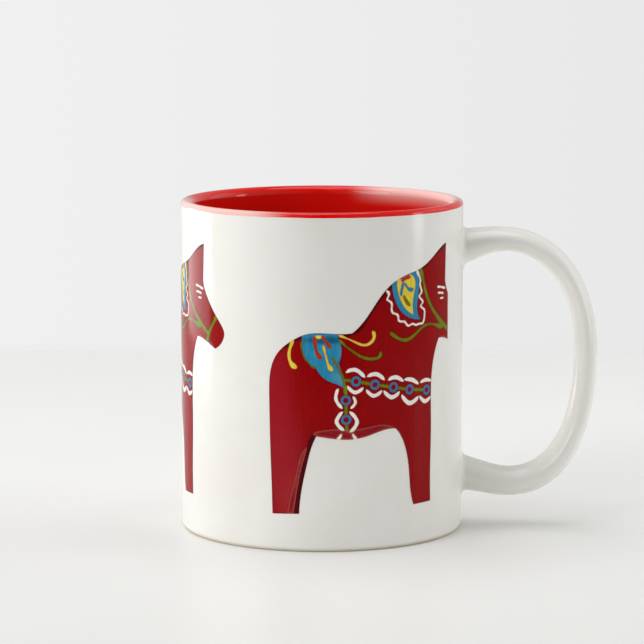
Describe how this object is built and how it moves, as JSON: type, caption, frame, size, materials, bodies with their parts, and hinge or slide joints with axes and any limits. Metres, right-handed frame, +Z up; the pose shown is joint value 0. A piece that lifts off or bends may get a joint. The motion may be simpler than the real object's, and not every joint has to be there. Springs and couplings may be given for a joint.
{
  "type": "coffee mug",
  "caption": "Two-tone ceramic mug with a D-shaped handle and a wrap print of painted folk-art horses in flat coloured inks.",
  "frame": {"origin": "centre of the ring that the mug stands on, on the mug's axis", "axes": "+Z up along the mug's axis, out of its mouth; +X towards the handle; the last horse faces -Y"},
  "size_m": [0.1217, 0.0822, 0.096],
  "materials": {
    "bare_clay": "fired, unglazed, slightly sandy",
    "white_glaze": "glossy white glaze",
    "red_glaze": "glossy red glaze",
    "red_ink": "printed colour under a clear gloss",
    "light_red_ink": "printed colour under a clear gloss",
    "dark_red_ink": "printed colour under a clear gloss",
    "blue_ink": "printed colour under a clear gloss",
    "green_ink": "printed colour under a clear gloss",
    "yellow_ink": "printed colour under a clear gloss",
    "orange_ink": "printed colour under a clear gloss",
    "white_ink": "printed colour under a clear gloss"
  },
  "bodies": {
    "root": {"mug_body": "bare_clay", "handle": "bare_clay", "lower_handle_joint": "bare_clay", "upper_handle_joint": "bare_clay", "lining_glaze": "red_glaze", "wall_glaze": "white_glaze", "handle_glaze": "white_glaze", "foot_glaze": "white_glaze", "first_horse_red": "red_ink", "first_horse_light_red": "light_red_ink", "first_horse_dark_red": "dark_red_ink", "first_horse_blue": "blue_ink", "first_horse_green": "green_ink", "first_horse_yellow": "yellow_ink", "first_horse_orange": "orange_ink", "first_horse_white": "white_ink", "middle_horse_red": "red_ink", "middle_horse_light_red": "light_red_ink", "middle_horse_dark_red": "dark_red_ink", "middle_horse_blue": "blue_ink", "middle_horse_green": "green_ink", "middle_horse_yellow": "yellow_ink", "middle_horse_orange": "orange_ink", "middle_horse_white": "white_ink", "last_horse_red": "red_ink", "last_horse_light_red": "light_red_ink", "last_horse_dark_red": "dark_red_ink", "last_horse_blue": "blue_ink", "last_horse_green": "green_ink", "last_horse_yellow": "yellow_ink", "last_horse_orange": "orange_ink", "last_horse_white": "white_ink"}
  },
  "joints": []
}
